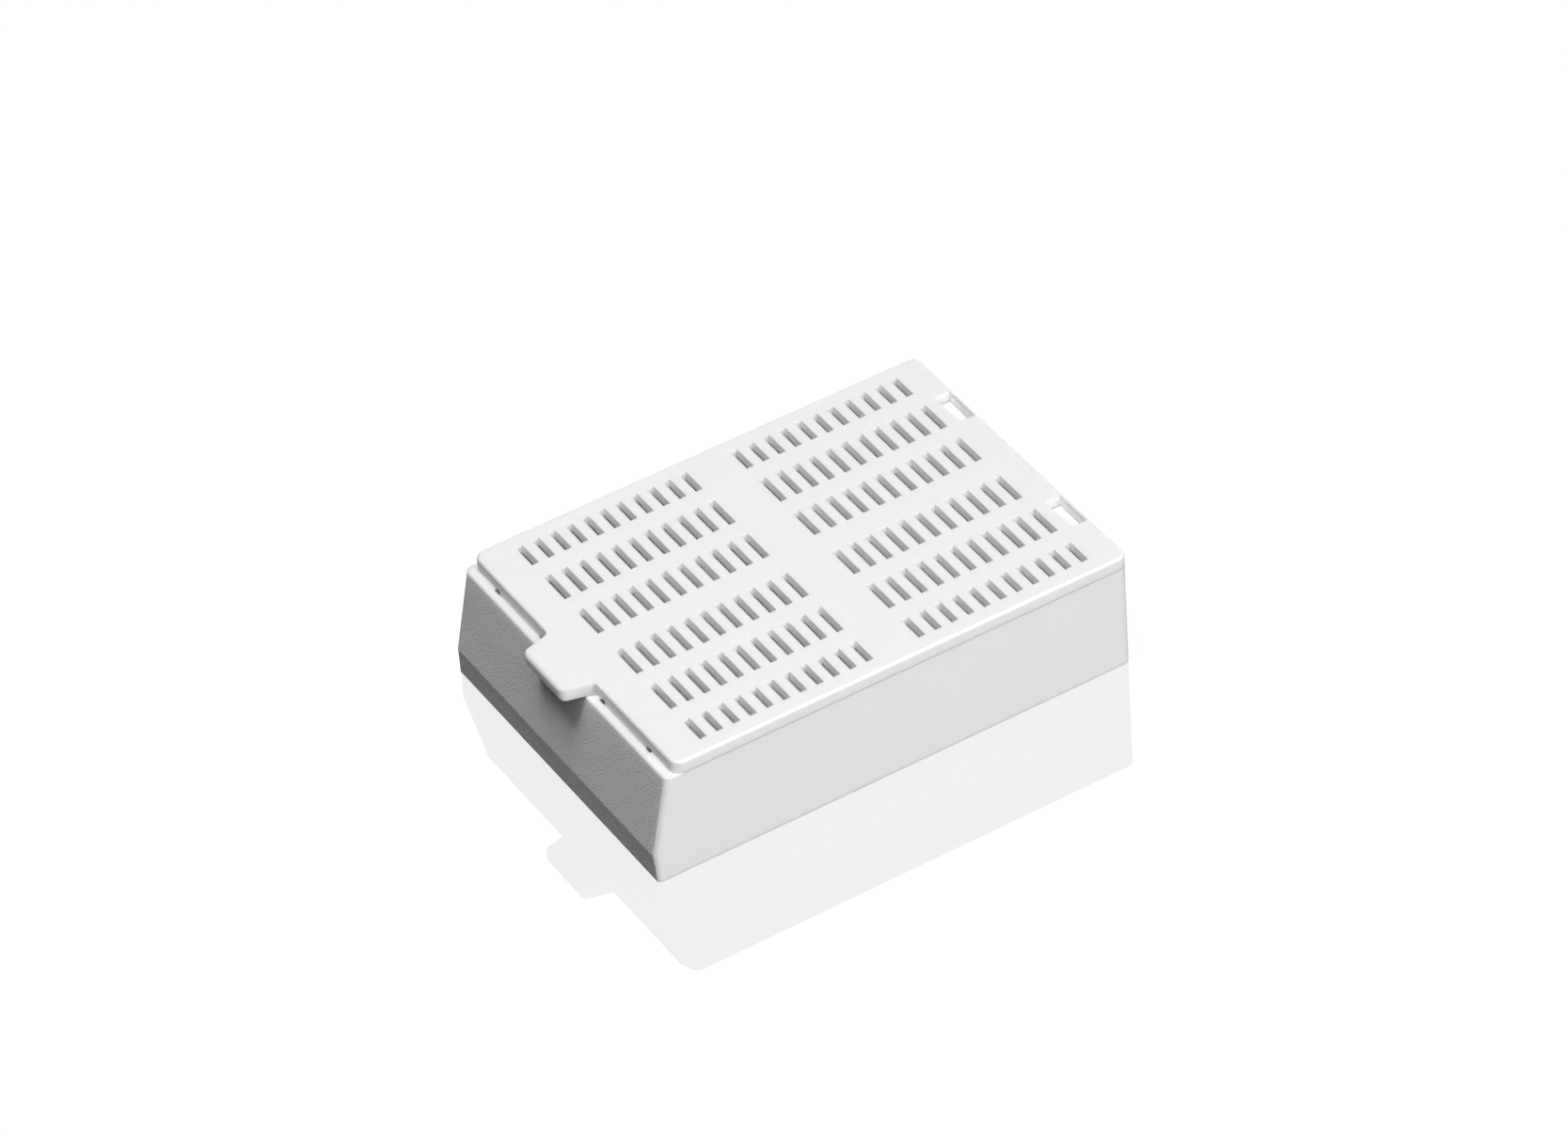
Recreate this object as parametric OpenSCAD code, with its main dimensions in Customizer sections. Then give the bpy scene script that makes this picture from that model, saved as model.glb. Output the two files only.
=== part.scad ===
// Tissue cassette, large format: a tray with a slanted writing face, and a hinged, latching lid.
// X runs across the cassette, Y from the writing face to the hinge, and Z up from the bench.
// The origin is on the bench, under the middle of the base.

/* [Base] */
// Length of the base, from the foot of the writing face to the rear wall
base_length = 75; // [70:0.5:90]
// Width of the base across its side walls
base_width = 52; // [50:0.5:60]
// Height of the rim that the lid closes on
rim_height = 16.8; // [14:0.1:22]
// Thickness of the tray's walls
wall = 1.5; // [1.3:0.05:1.8]
// Thickness of the perforated floor
floor_thickness = 1.3; // [1:0.05:2]
// Height of the foot rim under the floor
foot_height = 0.8; // [0.5:0.05:2]
// Radius of the upright rear corners, shared by the lid
corner_radius = 1.3; // [0.8:0.05:1.5]
// Radius inside the tray's upright corners
inner_radius = 1; // [0.5:0.1:2]

/* [Writing face] */
// Height of the upright plinth under the writing face
plinth_height = 4.35; // [3:0.05:6]
// How far the top of the writing face stands back from its foot
face_setback = 2.7; // [2.4:0.05:3.5]
// Thickness of the moulding behind the writing face
face_thickness = 1.3; // [1:0.05:1.5]
// Radius of the edges on both sides of the writing face
face_edge_radius = 1; // [0.5:0.05:1.5]
// How far the plinth is hollowed under the foot of the writing face
plinth_cove = 0.2; // [0.05:0.01:0.25]
// Height of the hollowed stretch of the plinth
cove_height = 2.4; // [1:0.1:2.6]
// Open depth of the ledge between the writing face and the lid
ledge_depth = 1.35; // [1.2:0.05:2]
// Thickness of the ledge
ledge_thickness = 1.3; // [1:0.05:1.6]
// Rounding of the ledge's front edge
ledge_rounding = 0.4; // [0.2:0.05:0.6]
// Thickness of the ribs behind the writing face
rib_thickness = 0.9; // [0.7:0.1:1.2]
// Distance from each rib to the end of the latch slot beside it
rib_gap = 1; // [0.5:0.1:1.5]

/* [Lid] */
// Thickness of the lid's edge
lid_edge = 1.95; // [1.9:0.05:2.6]
// Thickness of the lid's perforated plate
plate_thickness = 1.3; // [1:0.05:1.6]
// Gap between the closed lid and the rim
seat_gap = 0.05; // [0.02:0.01:0.1]
// Rounding of the lid's top edge
top_rounding = 0.4; // [0.2:0.05:0.5]
// Rounding of the lower edge along the lid's front and at the tab's tip
lower_rounding = 0.4; // [0.1:0.05:0.5]
// Radius of the lid's front corners
lid_front_radius = 1.7; // [1:0.05:2.5]
// Width of the thick band along the lid's rear edge
rear_band = 3.7; // [3.6:0.05:4.2]
// Thickness of the locating lip under the lid
lip_thickness = 0.7; // [0.5:0.05:0.75]
// Reach of the locating lip below the rim
lip_depth = 0.9; // [0.5:0.1:2]
// Clearance between the locating lip and the tray's walls
lip_clearance = 0.15; // [0.1:0.01:0.2]

/* [Tab] */
// Width of the tab where it leaves the lid
tab_root_width = 12.2; // [10:0.1:12.8]
// Width of the tab at its tip
tab_tip_width = 9.6; // [7:0.1:10]
// Reach of the tab in front of the lid
tab_reach = 4.6; // [3.5:0.1:6]
// Rounding of the top edge at the tab's tip
tab_nose = 0.65; // [0.4:0.05:1.2]
// Radius of the tab's front corners
tab_corner_radius = 1.2; // [0.8:0.1:2]
// Radius of the fillets where the tab meets the lid
tab_fillet = 0.8; // [0.4:0.1:1]

/* [Grille] */
// Width of a slot
slot_width = 1.05; // [0.8:0.05:1.4]
// Spacing of the slots along a row
slot_pitch = 2.58; // [2:0.02:3.2]
// Length of the slots in the four inner rows
slot_length = 5.6; // [4:0.1:5.8]
// Width of the web along the middle of the grille
middle_web = 4.3; // [3:0.1:4.6]
// Width of the webs between the other rows
row_web = 2.95; // [2:0.05:3.05]
// Plain margin between the outer rows and the outside of the side walls
side_margin = 2.45; // [2.4:0.05:3]
// Plain margin between the lid's front edge and the first slots
front_margin = 5.4; // [5:0.1:8]
// Plain margin between the last slots and the rear face
rear_margin = 4.75; // [4.3:0.05:7]
// How much a slot narrows on each side on its way through a plate
slot_draft = 0.1; // [0.05:0.01:0.12]
// Least width of the plain band between the front and rear panels of slots
least_band = 6; // [4:0.5:10]

/* [Hinge] */
// Distance from the middle of the cassette to the near end of each hinge window
window_start = 10.45; // [8:0.05:12]
// Length of each hinge window
window_length = 6.35; // [4:0.05:8]
// Depth of each hinge window from front to rear, at the top of the lid
window_depth = 2.5; // [2.4:0.05:2.6]
// Thickness of the lid's strip behind each window
rear_strip = 0.45; // [0.35:0.05:0.5]
// Radius of the rounded hinge bar
bar_radius = 2; // [1.9:0.05:2.05]
// Height of the hinge bar's top above the rim
bar_rise = 0.3; // [0.1:0.05:0.4]
// Running clearance between the hinge bar and the hook around it
bar_clearance = 0.1; // [0.08:0.01:0.15]
// Thickness of the hook
hook_thickness = 0.75; // [0.6:0.05:0.85]
// Angle through which the hook wraps under the bar
hook_wrap = 80; // [60:1:82]
// Side clearance between the hook and the sides of its window
hook_side_gap = 0.3; // [0.2:0.05:0.5]
// Room under the hook in the rear opening
hook_room = 0.35; // [0.2:0.05:0.6]

/* [Latch] */
// Distance from the middle of the cassette to the near end of each latch slot
latch_start = 7.2; // [7:0.05:8]
// Length of each latch slot
latch_length = 12.8; // [10:0.1:14]
// Thickness of the tongue
tongue_thickness = 1.1; // [0.9:0.05:1.2]
// Reach of the tongue below the rim
tongue_depth = 3.8; // [3:0.1:6]
// How far the tongue swells forward below the rim
tongue_swell = 0.19; // [0.1:0.01:0.3]
// Depth below the rim at which the tongue is at its thickest
swell_depth = 0.4; // [0.3:0.05:0.8]
// Height of the thick part of the tongue
swell_height = 2; // [1.5:0.1:2.4]
// Clearance between the thick part of the tongue and the edge of the ledge
swell_clearance = 0.06; // [0.05:0.01:0.1]
// Gap in the slot behind the tongue
tongue_rear_gap = 0.2; // [0.15:0.01:0.3]
// Gap in the slot at each end of the tongue
tongue_end_gap = 1.1; // [0.4:0.05:1.5]
// Room under the tongue, down to the end of its slot
tongue_room = 1; // [0.5:0.1:2]
// Depth of the recess behind the writing face that the tongue springs out into
latch_recess = 0.25; // [0.1:0.05:0.3]
// Land between the latch slots and the tray's front wall
slot_land = 0.25; // [0.2:0.05:0.4]

/* [Hidden] */
$fn = 48;
// Overrun that carries a cut clean through a face
cut = 1;

half_width = base_width / 2;
front_y = -base_length / 2;
rear_y = base_length / 2;

// The writing face
ledge_front_y = front_y + face_setback;
lid_front_y = ledge_front_y + ledge_depth;
face_height = rim_height - plinth_height;
face_lean = atan(face_setback / face_height);
face_wall_y = face_thickness / cos(face_lean);
// Straight stretch between the cove and the edge above it
cove_land = 0.2;

// The latch, and the tray's front wall behind it
tongue_back_y = lid_front_y + tongue_thickness;
swell_front_y = lid_front_y - tongue_swell;
slot_front_y = swell_front_y - swell_clearance;
slot_back_y = tongue_back_y + tongue_rear_gap;
front_wall_y = slot_back_y + slot_land;
tray_front_y = front_wall_y + wall;
tray_rear_y = rear_y - wall;
tray_half_width = half_width - wall;
floor_top = foot_height + floor_thickness;

// The lid's heights
lid_bottom = rim_height + seat_gap;
lid_top = lid_bottom + lid_edge;
plate_bottom = lid_top - plate_thickness;
lip_bottom = rim_height - lip_depth;
lip_half_width = tray_half_width - lip_clearance;
lip_front_y = tray_front_y + lip_clearance;
lip_rear_y = rear_y - rear_band;

// The hinge line runs along the rear face, in the middle of the seating gap
hinge_z = rim_height + seat_gap / 2;
hook_inner_radius = bar_radius + bar_clearance;
hook_outer_radius = hook_inner_radius + hook_thickness;
window_rear_y = rear_y - rear_strip;
window_front_y = window_rear_y - window_depth;
bar_top = rim_height + bar_rise;
window_sill = hinge_z - hook_outer_radius - hook_room;

// The tab is carried back into the lid's plate by the depth of its foot
tab_tip_y = lid_front_y - tab_reach;
tab_foot = 1.3;

// Two panels of slots, as many to a row as fit
grille_front_y = lid_front_y + front_margin;
grille_rear_y = rear_y - rear_margin;
panel_room = (grille_rear_y - grille_front_y - least_band) / 2;
slots_per_row = floor((panel_room - slot_width) / slot_pitch) + 1;
panel_length = (slots_per_row - 1) * slot_pitch + slot_width;
panel_starts = [grille_front_y, grille_rear_y - panel_length];
row_starts = [for (i = [0:2]) middle_web / 2 + i * (slot_length + row_web)];
row_ends = [row_starts[0] + slot_length, row_starts[1] + slot_length, half_width - side_margin];

// Draws its children on both sides of the middle plane
module both_sides() {
    children();
    mirror([1, 0, 0]) children();
}

// Turns a profile drawn in Y and Z into a prism along X, from x0 to x1
module along_x(x0, x1) {
    translate([x0, 0, 0]) rotate([90, 0, 90]) linear_extrude(x1 - x0) children();
}

// Turns a profile drawn in X and Z into a prism along Y, from y0 to y1
module along_y(y0, y1) {
    translate([0, y1, 0]) rotate([90, 0, 0]) linear_extrude(y1 - y0) children();
}

// Outline with a radius at each corner, given as [x, y, radius] and anticlockwise.
// A convex corner is cut back and refilled with a disc, a hollow one is filled and cut by a disc.
function bend(a, b, c) = (b[0] - a[0]) * (c[1] - b[1]) - (b[1] - a[1]) * (c[0] - b[0]);
function unit(v) = v / norm(v);
function toward(a, b) = unit([b[0] - a[0], b[1] - a[1]]);
function half_angle(a, b, c) = acos(toward(b, a) * toward(b, c)) / 2;
function before(p, i) = p[(i + len(p) - 1) % len(p)];
function after(p, i) = p[(i + 1) % len(p)];
function setback(p, i) = p[i][2] / tan(half_angle(before(p, i), p[i], after(p, i)));
function corner(p, i) = [p[i][0], p[i][1]];
function arc_start(p, i) = corner(p, i) + toward(p[i], before(p, i)) * setback(p, i);
function arc_end(p, i) = corner(p, i) + toward(p[i], after(p, i)) * setback(p, i);
function arc_centre(p, i) = corner(p, i)
    + unit(toward(p[i], before(p, i)) + toward(p[i], after(p, i)))
    * p[i][2] / sin(half_angle(before(p, i), p[i], after(p, i)));
function is_convex(p, i) = bend(before(p, i), p[i], after(p, i)) > 0;

module rounded_outline(p) {
    difference() {
        union() {
            polygon([
                for (i = [0:len(p) - 1])
                    each p[i][2] > 0 ? [arc_start(p, i), arc_end(p, i)] : [corner(p, i)]
            ]);
            for (i = [0:len(p) - 1]) if (p[i][2] > 0 && is_convex(p, i))
                translate(arc_centre(p, i)) circle(p[i][2]);
        }
        for (i = [0:len(p) - 1]) if (p[i][2] > 0 && !is_convex(p, i))
            translate(arc_centre(p, i)) circle(p[i][2]);
    }
}

// Rectangle between two corners, with one radius in front and one behind
module rounded_rectangle(x0, y0, x1, y1, front_radius, rear_radius) {
    rounded_outline([
        [x0, y0, front_radius],
        [x1, y0, front_radius],
        [x1, y1, rear_radius],
        [x0, y1, rear_radius]
    ]);
}

// Section of a slot from a to b in the top of a plate, narrowing on its way down
module slot_section(a, b, top, thickness) {
    slope = slot_draft / thickness;
    above = slope * cut;
    below = slope * (thickness + cut);
    polygon([
        [a + below, top - thickness - cut],
        [b - below, top - thickness - cut],
        [b + above, top + cut],
        [a - above, top + cut]
    ]);
}

// The pattern of slots that the floor and the lid share, where grooves along X and Y cross
module grille(top, thickness) {
    intersection() {
        along_x(-half_width, half_width)
            for (start = panel_starts, i = [0:slots_per_row - 1])
                slot_section(start + i * slot_pitch, start + i * slot_pitch + slot_width, top, thickness);
        both_sides() along_y(front_y, rear_y)
            for (row = [0:2]) slot_section(row_starts[row], row_ends[row], top, thickness);
    }
}

// Side view of the base: plinth with a cove at its top, slanted writing face, ledge and rim
module base_profile() {
    cove_radius = (cove_height - cove_land) / tan(atan(plinth_cove / cove_height) / 2);
    rounded_outline([
        [front_y + plinth_cove, 0, 0],
        [rear_y, 0, 0],
        [rear_y, rim_height, 0],
        [ledge_front_y, rim_height, ledge_rounding],
        [front_y, plinth_height, ledge_rounding],
        [front_y + plinth_cove, plinth_height - cove_height, cove_radius]
    ]);
}

// Prism that leans with the writing face and rounds the edges on both sides of it
module leaning_prism() {
    translate([0, front_y, plinth_height]) rotate([-face_lean, 0, 0]) translate([0, 0, -base_length])
        linear_extrude(base_length * 2)
            rounded_rectangle(-half_width, 0, half_width, base_length * 2, face_edge_radius, 0);
}

module base_block() {
    intersection() {
        along_x(-half_width, half_width) base_profile();
        linear_extrude(rim_height)
            rounded_rectangle(-half_width, front_y, half_width, rear_y, face_edge_radius, corner_radius);
        leaning_prism();
    }
}

// Room behind the writing face, open at the bench
module face_hollow() {
    ledge_bottom = rim_height - ledge_thickness;
    inner_foot_y = front_y + face_thickness;
    inner_top_y = front_y + face_wall_y + (ledge_bottom - plinth_height) * tan(face_lean);
    inner_kink_z = plinth_height - (face_wall_y - face_thickness) / tan(face_lean);
    along_x(-tray_half_width, tray_half_width)
        polygon([
            [inner_foot_y, -cut],
            [front_wall_y, -cut],
            [front_wall_y, ledge_bottom],
            [inner_top_y, ledge_bottom],
            [inner_foot_y, inner_kink_z]
        ]);
}

// Ribs that stiffen the writing face, beside the latch slots
module face_ribs() {
    rib_places = [latch_start - rib_thickness - rib_gap, latch_start + latch_length + rib_gap];
    both_sides() for (x = rib_places)
        along_x(x, x + rib_thickness)
            polygon([
                [front_y + face_thickness / 2, foot_height],
                [front_wall_y + wall / 2, foot_height],
                [front_wall_y + wall / 2, rim_height - ledge_thickness / 2],
                [ledge_front_y + face_thickness / 2, rim_height - ledge_thickness / 2],
                [front_y + face_thickness / 2, plinth_height]
            ]);
}

// Slot through the ledge for a tongue, with a recess under the ledge for its thick part
module latch_slot() {
    slot_bottom = rim_height - tongue_depth - tongue_room;
    ledge_bottom = rim_height - ledge_thickness;
    translate([latch_start, slot_front_y, slot_bottom])
        cube([latch_length, slot_back_y - slot_front_y, rim_height - slot_bottom + cut]);
    translate([latch_start, slot_front_y - latch_recess, slot_bottom])
        cube([latch_length, slot_back_y - slot_front_y, ledge_bottom - slot_bottom]);
}

// Quarter-round hinge bar, flush with the rear face, its top standing in the lid's window
module hinge_bar() {
    along_x(window_start, window_start + window_length)
        intersection() {
            translate([rear_y, hinge_z]) circle(bar_radius);
            translate([rear_y - bar_radius, hinge_z - bar_radius])
                square([bar_radius, rim_height - hinge_z + bar_radius]);
        }
    along_x(window_start + bar_clearance, window_start + window_length - bar_clearance)
        intersection() {
            translate([rear_y, hinge_z]) circle(bar_radius);
            translate([rear_y - bar_radius, hinge_z - bar_radius])
                square([bar_radius - rear_strip - bar_clearance, bar_top - hinge_z + bar_radius]);
        }
}

// Outline of the room inside the tray's walls
module tray_outline() {
    rounded_rectangle(
        -tray_half_width, tray_front_y, tray_half_width, tray_rear_y,
        inner_radius, inner_radius);
}

module base() {
    color("whitesmoke") {
        difference() {
            union() {
                difference() {
                    base_block();
                    face_hollow();
                }
                face_ribs();
            }
            // The tray
            translate([0, 0, floor_top]) linear_extrude(rim_height) tray_outline();
            // The space under the floor
            translate([0, 0, -cut]) linear_extrude(foot_height + cut) tray_outline();
            grille(floor_top, floor_thickness);
            both_sides() {
                latch_slot();
                // Opening through the rear wall, for the hook
                translate([window_start, tray_rear_y - cut, window_sill])
                    cube([window_length, wall + cut * 2, rim_height - window_sill + cut]);
            }
        }
        both_sides() hinge_bar();
    }
}

// Section across the lid's edge, its outer face at the given reach
module rim_section(reach, lower) {
    rounded_outline([
        [0, lid_bottom, 0],
        [reach, lid_bottom, lower],
        [reach, lid_top, top_rounding],
        [0, lid_top, 0]
    ]);
}

// The lid's outer block without the tab. Only the front has a rounded lower edge.
module plate_block() {
    reach = max(corner_radius, lid_front_radius);
    straight_front = half_width - lid_front_radius;
    straight_rear = half_width - corner_radius;
    corner_front_y = lid_front_y + lid_front_radius;
    corner_rear_y = rear_y - corner_radius;
    both_sides() {
        translate([straight_front, corner_front_y, 0]) rotate_extrude() rim_section(lid_front_radius, 0);
        translate([straight_rear, corner_rear_y, 0]) rotate_extrude() rim_section(corner_radius, 0);
        translate([half_width - reach, 0, 0]) along_y(corner_front_y, corner_rear_y) rim_section(reach, 0);
    }
    along_x(-straight_rear, straight_rear)
        translate([rear_y - reach, 0]) rim_section(reach, 0);
    along_x(-straight_front, straight_front)
        translate([lid_front_y + reach, 0]) mirror([1, 0]) rim_section(reach, lower_rounding);
    translate([reach - half_width, lid_front_y + reach, lid_bottom])
        cube([base_width - reach * 2, rear_y - lid_front_y - reach * 2, lid_edge]);
}

// The tab, as thick as the lid's edge
module tab_block() {
    half_root = tab_root_width / 2;
    half_tip = tab_tip_width / 2;
    translate([0, 0, lid_bottom]) linear_extrude(lid_edge)
        rounded_outline([
            [-half_root - tab_foot, lid_front_y, 0],
            [-half_root, lid_front_y, tab_fillet],
            [-half_tip, tab_tip_y, tab_corner_radius],
            [half_tip, tab_tip_y, tab_corner_radius],
            [half_root, lid_front_y, tab_fillet],
            [half_root + tab_foot, lid_front_y, 0],
            [half_root, lid_front_y + tab_foot, 0],
            [-half_root, lid_front_y + tab_foot, 0]
        ]);
}

// What the roundings take off the tab's tip, above and below
module tip_cutter() {
    nose_z = lid_top - tab_nose;
    under_z = lid_bottom + lower_rounding;
    along_x(-tab_root_width / 2, tab_root_width / 2) {
        difference() {
            translate([tab_tip_y - cut, nose_z]) square(tab_nose + cut);
            translate([tab_tip_y + tab_nose, nose_z]) circle(tab_nose);
        }
        difference() {
            translate([tab_tip_y - cut, lid_bottom - cut]) square(lower_rounding + cut);
            translate([tab_tip_y + lower_rounding, under_z]) circle(lower_rounding);
        }
    }
}

// Tongue that drops through the ledge, flush with the lid's front, swelling to fill its slot
module latch_tongue() {
    foot = rim_height - tongue_depth;
    thick_from = rim_height - swell_depth;
    thick_to = thick_from - swell_height;
    along_x(latch_start + tongue_end_gap, latch_start + latch_length - tongue_end_gap)
        polygon([
            [lid_front_y, lid_bottom + lower_rounding],
            [lid_front_y, lid_bottom],
            [swell_front_y, thick_from],
            [swell_front_y, thick_to],
            [lid_front_y, foot],
            [tongue_back_y, foot],
            [tongue_back_y, lid_bottom + lower_rounding]
        ]);
}

// Hook that runs down in front of the hinge bar and under it
module hinge_hook() {
    tip = 180 + hook_wrap;
    reach = hook_outer_radius * 2;
    along_x(window_start + hook_side_gap, window_start + window_length - hook_side_gap)
        translate([rear_y, hinge_z]) intersection() {
            difference() {
                circle(hook_outer_radius);
                circle(hook_inner_radius);
            }
            polygon([
                [0, 0],
                [reach * cos(tip), reach * sin(tip)],
                [-reach, -reach],
                [-reach, seat_gap],
                [0, seat_gap]
            ]);
        }
}

// Window over the hinge bar, its front wall sloping back to the hook
module hinge_window() {
    along_x(window_start, window_start + window_length)
        polygon([
            [window_front_y, lid_top],
            [rear_y - hook_inner_radius, lid_bottom],
            [rear_y - hook_inner_radius, lid_bottom - cut],
            [window_rear_y, lid_bottom - cut],
            [window_rear_y, lid_top + cut],
            [window_front_y, lid_top + cut]
        ]);
}

// Lip that centres the lid in the tray, along the front and both sides
module locating_lip() {
    translate([0, 0, lip_bottom]) linear_extrude(plate_bottom - lip_bottom)
        difference() {
            rounded_rectangle(-lip_half_width, lip_front_y, lip_half_width, lip_rear_y, inner_radius, 0);
            rounded_rectangle(
                lip_thickness - lip_half_width, lip_front_y + lip_thickness,
                lip_half_width - lip_thickness, lip_rear_y + cut,
                inner_radius - lip_thickness, 0);
        }
}

module lid() {
    color("white") {
        difference() {
            union() {
                plate_block();
                tab_block();
            }
            tip_cutter();
            // The underside is hollowed between the thick edge bands
            translate([0, 0, lid_bottom - cut]) linear_extrude(plate_bottom - lid_bottom + cut)
                rounded_rectangle(
                    -lip_half_width, lip_front_y, lip_half_width, lip_rear_y,
                    inner_radius, inner_radius);
            grille(lid_top, plate_thickness);
            both_sides() hinge_window();
        }
        locating_lip();
        both_sides() {
            latch_tongue();
            hinge_hook();
        }
    }
}

base();
lid();
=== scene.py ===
import math
import bpy
from mathutils import Matrix, Vector


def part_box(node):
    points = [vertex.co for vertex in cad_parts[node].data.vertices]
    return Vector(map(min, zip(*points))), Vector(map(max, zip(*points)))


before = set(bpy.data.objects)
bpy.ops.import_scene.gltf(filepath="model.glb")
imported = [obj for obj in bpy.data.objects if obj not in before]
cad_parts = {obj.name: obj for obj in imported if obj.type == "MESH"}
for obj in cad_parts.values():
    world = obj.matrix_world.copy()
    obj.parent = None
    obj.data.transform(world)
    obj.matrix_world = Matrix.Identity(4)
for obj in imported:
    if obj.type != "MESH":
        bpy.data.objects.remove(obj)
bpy.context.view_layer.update()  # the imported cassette, closed, as two fixed nodes: base and lid
print("cassette loaded:", ", ".join(sorted(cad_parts)))

mm = 0.001  # m
white = (1, 1, 1, 1)


def linearColour(code):  # sRGB hex to the linear colour that a shader wants
    channels = [int(code[i:i + 2], 16) / 255 for i in (1, 3, 5)]
    return [c / 12.92 if c <= 0.04045 else ((c + 0.055) / 1.055) ** 2.4 for c in channels] + [1]


def grey(level):
    return (level, level, level, 1)


def direction(azimuth, elevation):  # from the cassette outwards, with 0 at its front
    turn, rise = math.radians(azimuth), math.radians(elevation)
    reach = math.cos(rise)
    return Vector((math.sin(turn) * reach, -math.cos(turn) * reach, math.sin(rise)))


def addNode(tree, kind, settings=None, values=None, links=None):
    node = tree.nodes.new("ShaderNode" + kind)
    for name, value in (settings or {}).items():
        setattr(node, name, value)
    for name, value in (values or {}).items():
        node.inputs[name].default_value = value
    for name, socket in (links or {}).items():
        tree.links.new(socket, node.inputs[name])
    return node


def newMaterial(name):
    material = bpy.data.materials.new(name)
    material.use_nodes = True
    material.node_tree.nodes.clear()
    return material, material.node_tree


# The view: where the eye stands round the cassette, with angles in degrees and lengths in m
cameraView = {
    "azimuth": 60.77,
    "elevation": 40.649,
    "roll": -4.488,
    "distance": 1.02577,
    "aim": (-0.0081890, 0.0042169, 0.0095729),
    "lens": 174.28,  # mm, as the sensor is
    "sensor": 36,
    "nearest": 0.05,
    "farthest": 20,
}


def placeCamera(view):
    back = direction(view["azimuth"], view["elevation"])
    level = Vector((0, 0, 1)).cross(back).normalized()
    upright = back.cross(level)
    roll = math.radians(view["roll"])
    right = math.cos(roll) * level + math.sin(roll) * upright
    above = math.cos(roll) * upright - math.sin(roll) * level
    data = bpy.data.cameras.new("camera")
    data.lens = view["lens"]
    data.sensor_width = view["sensor"]
    data.clip_start = view["nearest"]
    data.clip_end = view["farthest"]
    camera = bpy.data.objects.new("camera", data)
    bpy.context.scene.collection.objects.link(camera)
    turned = Matrix((right, above, back)).transposed().to_4x4()
    camera.matrix_world = Matrix.Translation(Vector(view["aim"]) + back * view["distance"]) @ turned
    bpy.context.scene.camera = camera


placeCamera(cameraView)
print("camera placed")

# Moulded acetal: a white thermoplastic with a matt skin from a finely blasted steel mould, so its
# highlights are wide and soft. Light travels a little way inside it, which lifts the walls of the
# slots and softens the edges of shadows
acetal = {
    "colour": "#fbfbfb",
    "streak": "#f8f8f8",  # where the melt cooled a little slower
    "streakSize": 9,  # mm
    "streakBend": 0.6,
    "ior": 1.48,
    "roughness": (0.68, 0.8),
    "translucency": 0.6,
    "scatter": 0.7,  # mm that light travels inside before it comes out
    "grain": 0.24,  # mm, for a real grain of about 0.03 mm, drawn as coarse as it needs to show
    "grainDepth": 0.02,  # mm
    "edge": 0.1,  # mm, the radius that polishing leaves on the mould's edges
    "edgeSamples": 6,
}

# The panel to write on: the same acetal against a spark-eroded face of the mould, rough so that
# pencil takes on it. It is duller than the rest, and the one surface whose pits the eye sees
writingPanel = {
    "deep": 2.7,  # mm from the foot back to the ledge's front edge, along Y
    "margin": 0.5,  # mm of plain skin along both ends
    "fade": 0.2,  # mm
    "roughness": (0.8, 0.95),
    "pit": 0.22,  # mm across, for real pits of about 0.05 mm, drawn as coarse as they need to show
    "pitDepth": 0.1,  # mm
}


def pittedPanel(tree, place, gloss, height, panel):  # swaps the plain skin for pits on the panel
    front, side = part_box("base")[0][1] / mm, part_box("base")[1][0] / mm
    panelRear, panelEnd = front + panel["deep"], side - panel["margin"]
    scaled = addNode(tree, "VectorMath", {"operation": "SCALE"}, {"Scale": 1 / mm}, {0: place})
    axes = addNode(tree, "SeparateXYZ", links={0: scaled.outputs[0]})  # in mm
    offMiddle = addNode(tree, "Math", {"operation": "ABSOLUTE"}, links={0: axes.outputs["X"]})
    inFront = addNode(tree, "MapRange", values={
        "From Min": panelRear - panel["fade"], "From Max": panelRear, "To Min": 1, "To Max": 0,
    }, links={"Value": axes.outputs["Y"]})
    between = addNode(tree, "MapRange", values={
        "From Min": panelEnd - panel["fade"], "From Max": panelEnd, "To Min": 1, "To Max": 0,
    }, links={"Value": offMiddle.outputs[0]})
    share = addNode(tree, "Math", {"operation": "MULTIPLY"},
                    links={0: inFront.outputs[0], 1: between.outputs[0]})
    pits = addNode(tree, "TexVoronoi", values={"Scale": 1 / (panel["pit"] * mm)},
                   links={"Vector": place}).outputs["Distance"]
    matt = addNode(tree, "MapRange", values={
        "To Min": panel["roughness"][0], "To Max": panel["roughness"][1],
    }, links={"Value": pits})
    depth = addNode(tree, "Math", {"operation": "MULTIPLY"}, {1: panel["pitDepth"]}, {0: pits})
    swapped = []
    for plain, pitted in ((gloss, matt.outputs[0]), (height, depth.outputs[0])):
        mix = addNode(tree, "Mix", links={"Factor": share.outputs[0], "A": plain, "B": pitted})
        swapped.append(mix.outputs[0])
    return swapped


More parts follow.
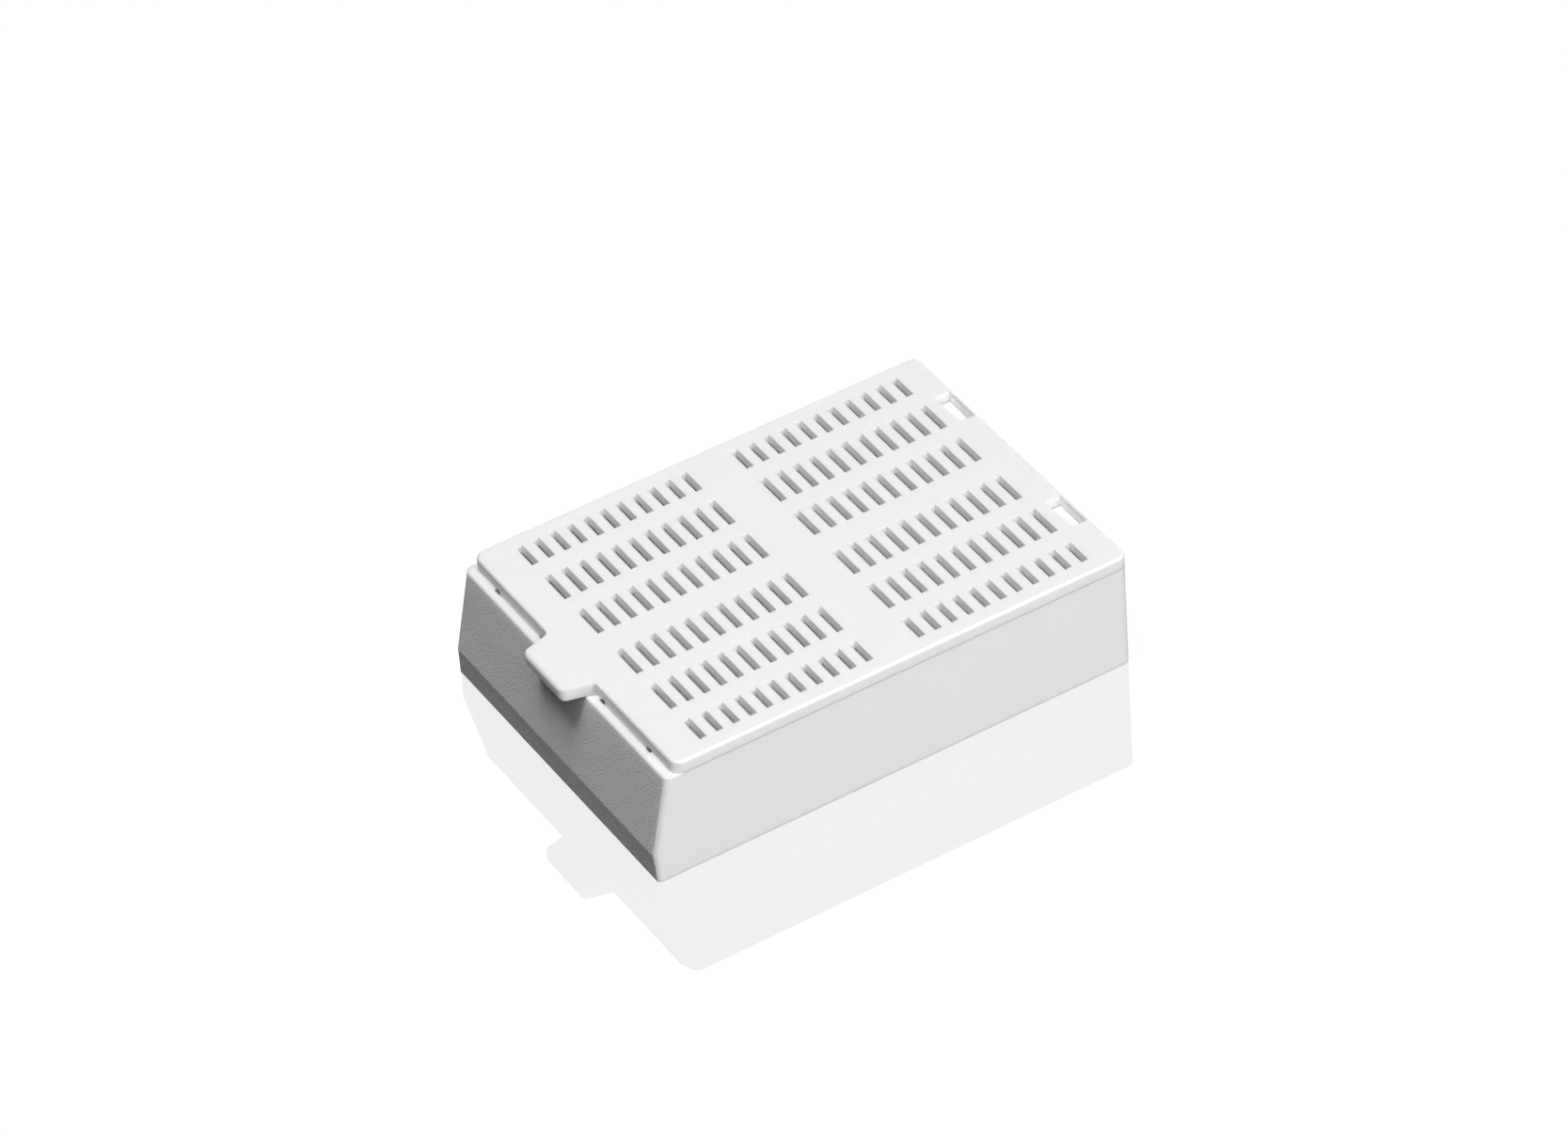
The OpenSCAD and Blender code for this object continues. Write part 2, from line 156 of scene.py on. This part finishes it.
def mouldedAcetal(name, values, panel=None):
    material, tree = newMaterial(name)
    place = addNode(tree, "TexCoord").outputs["Object"]
    streaks = addNode(tree, "TexNoise", values={
        "Scale": 1 / (values["streakSize"] * mm), "Distortion": values["streakBend"],
    }, links={"Vector": place})
    colour = addNode(tree, "MixRGB", values={
        "Color1": linearColour(values["colour"]), "Color2": linearColour(values["streak"]),
    }, links={"Fac": streaks.outputs["Fac"]})
    grain = addNode(tree, "TexNoise", values={"Scale": 1 / (values["grain"] * mm)},
                    links={"Vector": place}).outputs["Fac"]
    gloss = addNode(tree, "MapRange", values={
        "To Min": values["roughness"][0], "To Max": values["roughness"][1],
    }, links={"Value": grain}).outputs[0]
    height = addNode(tree, "Math", {"operation": "MULTIPLY"}, {1: values["grainDepth"]},
                     {0: grain}).outputs[0]
    if panel:
        gloss, height = pittedPanel(tree, place, gloss, height, panel)
    edge = addNode(tree, "Bevel", {"samples": values["edgeSamples"]},
                   {"Radius": values["edge"] * mm})
    relief = addNode(tree, "Bump", values={"Distance": mm},  # height is in mm
                     links={"Height": height, "Normal": edge.outputs[0]})
    shader = addNode(tree, "BsdfPrincipled", values={
        "IOR": values["ior"],
        "Subsurface Weight": values["translucency"],
        "Subsurface Radius": (1, 1, 1),
        "Subsurface Scale": values["scatter"] * mm,
    }, links={"Base Color": colour.outputs[0], "Roughness": gloss, "Normal": relief.outputs[0]})
    addNode(tree, "OutputMaterial", links={"Surface": shader.outputs[0]})
    return material


plastic = {
    "base": mouldedAcetal("moulded acetal with a writing panel", acetal, writingPanel),
    "lid": mouldedAcetal("moulded acetal", acetal),
}
for name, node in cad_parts.items():
    node.data.materials.clear()
    node.data.materials.append(plastic[name])
print("acetal laid on base and lid")

# The floor: a polished white sheet, which shows a faint mirror image of the cassette. To the eye
# it is white by itself, and the cassette gets only the little light that "bounce" sends back
floor = {
    "size": 3,  # m
    "below": 0.01,  # mm under the cassette's foot
    "white": 0.81,  # its own brightness, where 1 is white
    "mirror": 0.02,  # share of what it mirrors
    "beyond": 7.6,  # brightness of what lies beyond the cassette in that mirror
    "shade": 0.05,  # share of the lamps' light, which draws the cassette's shadow
    "bounce": 0.06,  # share of the light that goes back up to the cassette
}


def layFloor(values):
    bpy.ops.mesh.primitive_plane_add(size=values["size"], location=(0, 0, -values["below"] * mm))
    sheet = bpy.context.active_object
    sheet.name = "floor"
    bpy.ops.object.transform_apply(location=True, rotation=True, scale=True)
    material, tree = newMaterial("polished white sheet")
    path = addNode(tree, "LightPath")
    seen = addNode(tree, "Math", {"operation": "MAXIMUM"},
                   links={0: path.outputs["Is Camera Ray"], 1: path.outputs["Is Glossy Ray"]})
    glow = addNode(tree, "Emission", values={"Color": white, "Strength": values["white"]})
    mirror = addNode(tree, "BsdfGlossy", values={"Color": grey(values["mirror"]), "Roughness": 0})
    shade = addNode(tree, "BsdfDiffuse", values={"Color": grey(values["shade"])})
    bounce = addNode(tree, "BsdfDiffuse", values={"Color": grey(values["bounce"])})
    polish = addNode(tree, "AddShader", links={0: glow.outputs[0], 1: mirror.outputs[0]})
    face = addNode(tree, "AddShader", links={0: polish.outputs[0], 1: shade.outputs[0]})
    either = addNode(tree, "MixShader",
                     links={0: seen.outputs[0], 1: bounce.outputs[0], 2: face.outputs[0]})
    addNode(tree, "OutputMaterial", links={"Surface": either.outputs[0]})
    sheet.data.materials.append(material)


layFloor(floor)
print("floor laid")

# The studio round it: white to the eye, and no light on the acetal apart from what its gloss shows
studio = {
    "fill": 0.0,
    "gloss": 1.0,
    "backdrop": 1,
}


def buildStudio(values, beyond):
    world = bpy.data.worlds.new("studio")
    bpy.context.scene.world = world
    world.use_nodes = True
    tree = world.node_tree
    tree.nodes.clear()
    path = addNode(tree, "LightPath")
    fill, gloss, mirrored, backdrop = (
        addNode(tree, "Background", values={"Color": white, "Strength": strength})
        for strength in (values["fill"], values["gloss"], beyond, values["backdrop"]))
    onGloss = addNode(tree, "MixShader", links={
        0: path.outputs["Is Glossy Ray"], 1: fill.outputs[0], 2: gloss.outputs[0]})
    inMirror = addNode(tree, "MixShader", links={
        0: path.outputs["Is Singular Ray"], 1: onGloss.outputs[0], 2: mirrored.outputs[0]})
    toEye = addNode(tree, "MixShader", links={
        0: path.outputs["Is Camera Ray"], 1: inMirror.outputs[0], 2: backdrop.outputs[0]})
    addNode(tree, "OutputWorld", links={"Surface": toEye.outputs[0]})


buildStudio(studio, floor["beyond"])
print("studio built")

# Soft round lamps that look at the cassette. Most of their light falls on the lid and the right
# side, and the writing face stays in shade. Angles in degrees, lengths in m, power in watts
lampDistance = 0.9
lamps = {
    "above": {"azimuth": 0, "elevation": 87, "size": 0.6, "power": 3.6},
    "aboveFront": {"azimuth": 8, "elevation": 74, "size": 0.3, "power": 1.8},  # the tab's shadow
    "frontSide": {"azimuth": 70, "elevation": 50, "size": 0.6, "power": 1.7},  # into the slots
    "side": {"azimuth": 98, "elevation": 10, "size": 0.3, "power": 4.8},
    "behind": {"azimuth": 225, "elevation": 6, "size": 0.18, "power": 3.2},  # rear and left walls
}


def hangLamp(name, values):
    data = bpy.data.lights.new(name, "AREA")
    data.shape = "DISK"
    data.size = values["size"]
    data.energy = values["power"]
    lamp = bpy.data.objects.new(name, data)
    bpy.context.scene.collection.objects.link(lamp)
    back = direction(values["azimuth"], values["elevation"])
    lamp.location = back * lampDistance
    lamp.rotation_euler = back.to_track_quat("Z", "Y").to_euler()


for name, values in lamps.items():
    hangLamp(name, values)
print("lamps hung")

bpy.context.scene.view_settings.view_transform = "Standard"
